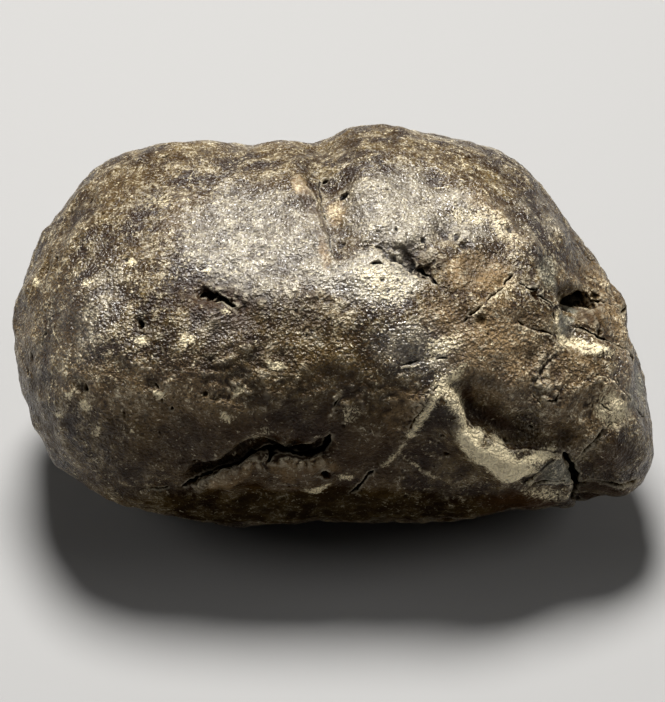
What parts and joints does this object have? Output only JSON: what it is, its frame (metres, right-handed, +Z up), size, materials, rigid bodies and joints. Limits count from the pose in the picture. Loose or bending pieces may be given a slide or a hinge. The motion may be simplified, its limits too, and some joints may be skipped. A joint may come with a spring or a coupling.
{
  "type": "fossil shark coprolite",
  "caption": "Water-worn phosphate nodule with two rounded lobes, a saddle crease, a hollowed snout, cracks and small borings, resting on a small flat spot.",
  "frame": {"origin": "on the floor, under the middle of the nodule's bounding box", "axes": "+Z up; +X along the nodule's length, from the rear lobe to the snout; +Y towards the far side, so the hollowed side faces -Y"},
  "size_m": [0.1146, 0.0746, 0.0649],
  "materials": {
    "phosphate": "water-worn dark brown phosphate, dull polish on the heights, matt in the hollows"
  },
  "bodies": {
    "root": {"coprolite": "phosphate"}
  },
  "joints": []
}
